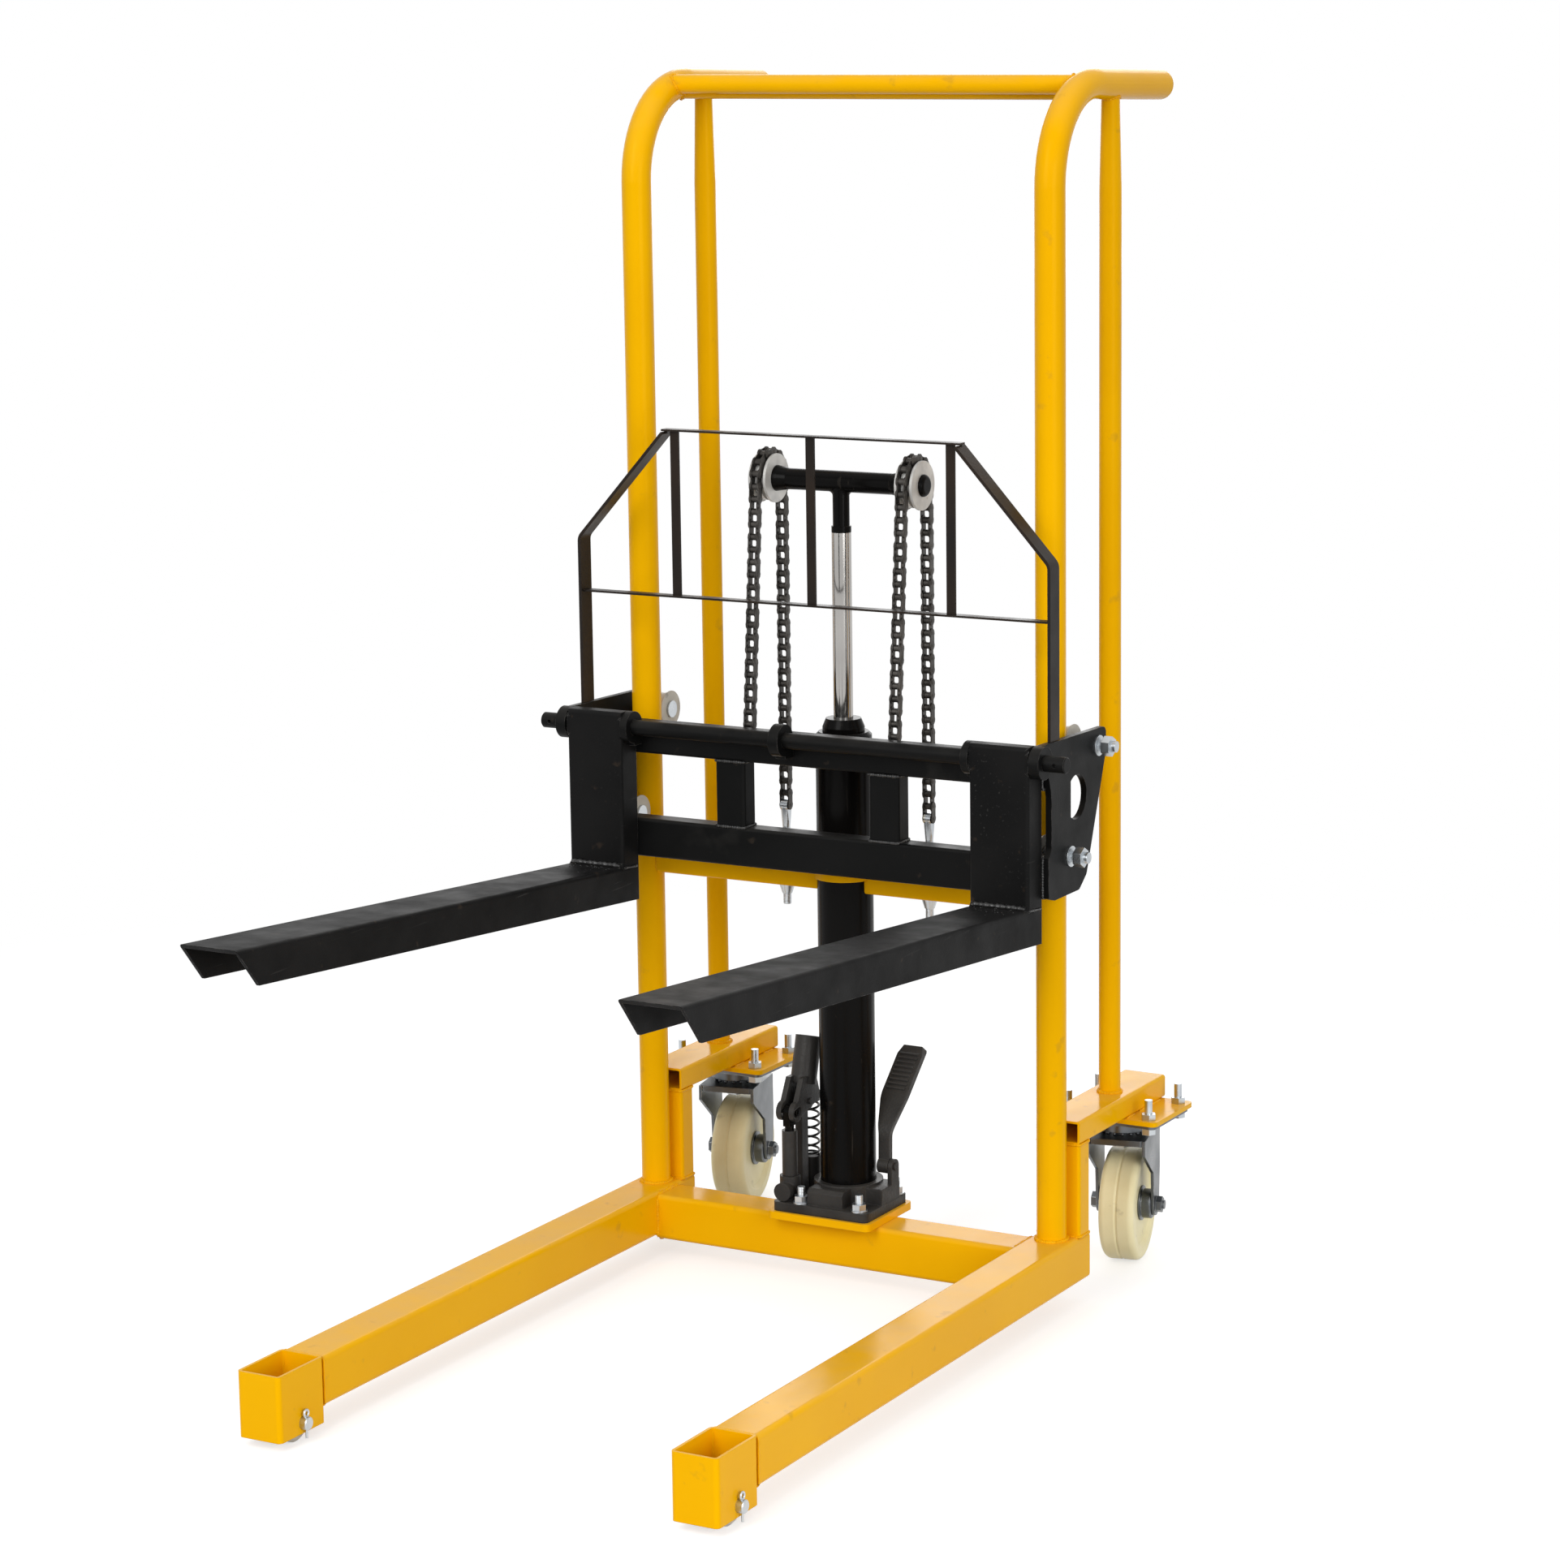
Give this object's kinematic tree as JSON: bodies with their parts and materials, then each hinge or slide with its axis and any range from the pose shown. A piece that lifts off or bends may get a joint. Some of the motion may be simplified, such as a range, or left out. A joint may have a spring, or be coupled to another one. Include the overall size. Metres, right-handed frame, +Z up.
{
  "type": "hydraulic material lift",
  "caption": "Hand-pushed hydraulic material lift: tubular mast with pump and ram, chain-hung fork carriage with load backrest, straddle legs on rollers and swivel casters at the rear.",
  "frame": {"origin": "on the floor, midway between the fork tips and the handle ends and midway between the uprights", "axes": "+X to the right as seen by someone facing the forks, -Y towards the fork tips, +Y towards the handles, +Z up"},
  "size_m": [0.744, 1.2794, 1.5466],
  "materials": {
    "yellow_paint": "gloss",
    "black_paint": "satin",
    "black_casting": "satin",
    "zinc_plate": "bright",
    "chrome_rod": "polished",
    "chain_steel": "oiled",
    "cream_nylon": "matte",
    "pale_roller": "turned"
  },
  "bodies": {
    "frame": {"legs": "yellow_paint", "wheel_boxes": "yellow_paint", "front_axles": "zinc_plate", "cross_beam": "yellow_paint", "pump_plate": "yellow_paint", "upright_left": "yellow_paint", "upright_right": "yellow_paint", "handle_plugs": "yellow_paint", "handle_bars": "yellow_paint", "stays": "yellow_paint", "caster_posts": "yellow_paint", "caster_arms": "yellow_paint", "caster_plates": "yellow_paint", "caster_races": "zinc_plate", "caster_bolts": "zinc_plate", "anchor_bar": "yellow_paint", "anchor_studs": "zinc_plate", "chain_rear": "chain_steel", "cylinder_tube": "black_paint", "gland_nut": "black_paint", "pump_base": "black_casting", "pump_barrel": "black_casting", "base_studs": "zinc_plate", "pivot_pins": "zinc_plate", "pump_spring": "zinc_plate"},
    "ram": {"ram_rod": "chrome_rod", "ram_piston": "zinc_plate", "ram_head": "black_paint", "head_washers": "zinc_plate", "chain_wraps": "chain_steel"},
    "carriage": {"upper_rail": "black_paint", "lower_rail": "black_paint", "rail_posts": "black_paint", "side_plate_left": "black_paint", "side_plate_right": "black_paint", "hanger_shaft": "black_paint", "shaft_lugs": "black_paint", "chain_tabs": "black_paint", "guide_bolts": "zinc_plate", "backrest_posts": "black_paint", "backrest_bars": "black_paint", "chain_front": "chain_steel"},
    "left_sheave": {"sheave_left": "chain_steel"},
    "right_sheave": {"sheave_right": "chain_steel"},
    "left_upper_guide": {"guide_upper_left": "pale_roller"},
    "right_upper_guide": {"guide_upper_right": "pale_roller"},
    "left_lower_guide": {"guide_lower_left": "pale_roller"},
    "right_lower_guide": {"guide_lower_right": "pale_roller"},
    "left_fork": {"fork_left": "black_paint"},
    "right_fork": {"fork_right": "black_paint"},
    "left_caster": {"caster_yoke_left": "zinc_plate"},
    "right_caster": {"caster_yoke_right": "zinc_plate"},
    "left_wheel": {"caster_wheel_left": "cream_nylon"},
    "right_wheel": {"caster_wheel_right": "cream_nylon"},
    "left_roller": {"front_roller_left": "cream_nylon"},
    "right_roller": {"front_roller_right": "cream_nylon"},
    "lever": {"pump_lever": "black_paint"},
    "plunger": {"pump_plunger": "zinc_plate"},
    "pedal": {"release_pedal": "black_paint"}
  },
  "joints": [
    {"name": "ram_lift", "type": "slide", "parent": "frame", "child": "ram", "axis": [0, 0, 1], "range_m": [-0.222, 0.23], "deforming": ["chain_rear"]},
    {"name": "carriage_lift", "type": "slide", "parent": "ram", "child": "carriage", "axis": [0, 0, 1], "range_m": [-0.222, 0.23], "deforming": ["chain_front"]},
    {"name": "left_sheave_spin", "type": "hinge", "parent": "ram", "child": "left_sheave", "pos_m": [-0.104, 0.3155, 1.039], "axis": [1, 0, 0], "range_deg": [-400, 386]},
    {"name": "left_upper_guide_spin", "type": "hinge", "parent": "carriage", "child": "left_upper_guide", "pos_m": [-0.2915, 0.3555, 0.722], "axis": [1, 0, 0], "range_deg": [-1214, 1258]},
    {"name": "left_lower_guide_spin", "type": "hinge", "parent": "carriage", "child": "left_lower_guide", "pos_m": [-0.2915, 0.2755, 0.597], "axis": [1, 0, 0], "range_deg": [-1258, 1214]},
    {"name": "left_fork_fold", "type": "hinge", "parent": "carriage", "child": "left_fork", "pos_m": [-0.2875, 0.1945, 0.727], "axis": [-1, 0, 0], "range_deg": [0, 90]},
    {"name": "left_caster_swivel", "type": "hinge", "parent": "frame", "child": "left_caster", "pos_m": [-0.2915, 0.5295, 0.15], "axis": [0, 0, 1], "continuous": true},
    {"name": "left_wheel_spin", "type": "hinge", "parent": "left_caster", "child": "left_wheel", "pos_m": [-0.29691, 0.55493, 0.075], "axis": [0.9781, 0.2079, 0], "continuous": true},
    {"name": "left_roller_spin", "type": "hinge", "parent": "frame", "child": "left_roller", "pos_m": [-0.2915, -0.529, 0.025], "axis": [1, 0, 0], "continuous": true},
    {"name": "right_sheave_spin", "type": "hinge", "parent": "ram", "child": "right_sheave", "pos_m": [0.104, 0.3155, 1.039], "axis": [1, 0, 0], "range_deg": [-400, 386]},
    {"name": "right_upper_guide_spin", "type": "hinge", "parent": "carriage", "child": "right_upper_guide", "pos_m": [0.2915, 0.3555, 0.722], "axis": [1, 0, 0], "range_deg": [-1214, 1258]},
    {"name": "right_lower_guide_spin", "type": "hinge", "parent": "carriage", "child": "right_lower_guide", "pos_m": [0.2915, 0.2755, 0.597], "axis": [1, 0, 0], "range_deg": [-1258, 1214]},
    {"name": "right_fork_fold", "type": "hinge", "parent": "carriage", "child": "right_fork", "pos_m": [0.2875, 0.1945, 0.727], "axis": [-1, 0, 0], "range_deg": [0, 90]},
    {"name": "right_caster_swivel", "type": "hinge", "parent": "frame", "child": "right_caster", "pos_m": [0.2915, 0.5295, 0.15], "axis": [0, 0, 1], "continuous": true},
    {"name": "right_wheel_spin", "type": "hinge", "parent": "right_caster", "child": "right_wheel", "pos_m": [0.28609, 0.55493, 0.075], "axis": [0.9781, 0.2079, 0], "continuous": true},
    {"name": "right_roller_spin", "type": "hinge", "parent": "frame", "child": "right_roller", "pos_m": [0.2915, -0.529, 0.025], "axis": [1, 0, 0], "continuous": true},
    {"name": "lever_pump", "type": "hinge", "parent": "frame", "child": "lever", "pos_m": [-0.062, 0.3035, 0.232], "axis": [-1, 0, 0], "range_deg": [0, 38], "stiffness_Nm_per_rad": 6, "springref_deg": -11.46, "deforming": ["pump_spring"]},
    {"name": "plunger_stroke", "type": "slide", "parent": "frame", "child": "plunger", "axis": [0, 0, 1], "range_m": [0, 0.0216]},
    {"name": "pedal_press", "type": "hinge", "parent": "frame", "child": "pedal", "pos_m": [0.05, 0.3285, 0.152], "axis": [-1, 0, 0], "range_deg": [0, 14], "stiffness_Nm_per_rad": 4, "springref_deg": -17.19}
  ],
  "couplings": [
    {"joint": "carriage_lift", "follows": "ram_lift", "ratio": 1},
    {"joint": "plunger_stroke", "follows": "lever_pump", "m_per_rad": 0.0325},
    {"joint": "left_sheave_spin", "follows": "ram_lift", "rad_per_m": -30.151},
    {"joint": "left_upper_guide_spin", "follows": "ram_lift", "rad_per_m": 95.238},
    {"joint": "left_lower_guide_spin", "follows": "ram_lift", "rad_per_m": -95.238},
    {"joint": "right_sheave_spin", "follows": "ram_lift", "rad_per_m": -30.151},
    {"joint": "right_upper_guide_spin", "follows": "ram_lift", "rad_per_m": 95.238},
    {"joint": "right_lower_guide_spin", "follows": "ram_lift", "rad_per_m": -95.238}
  ]
}
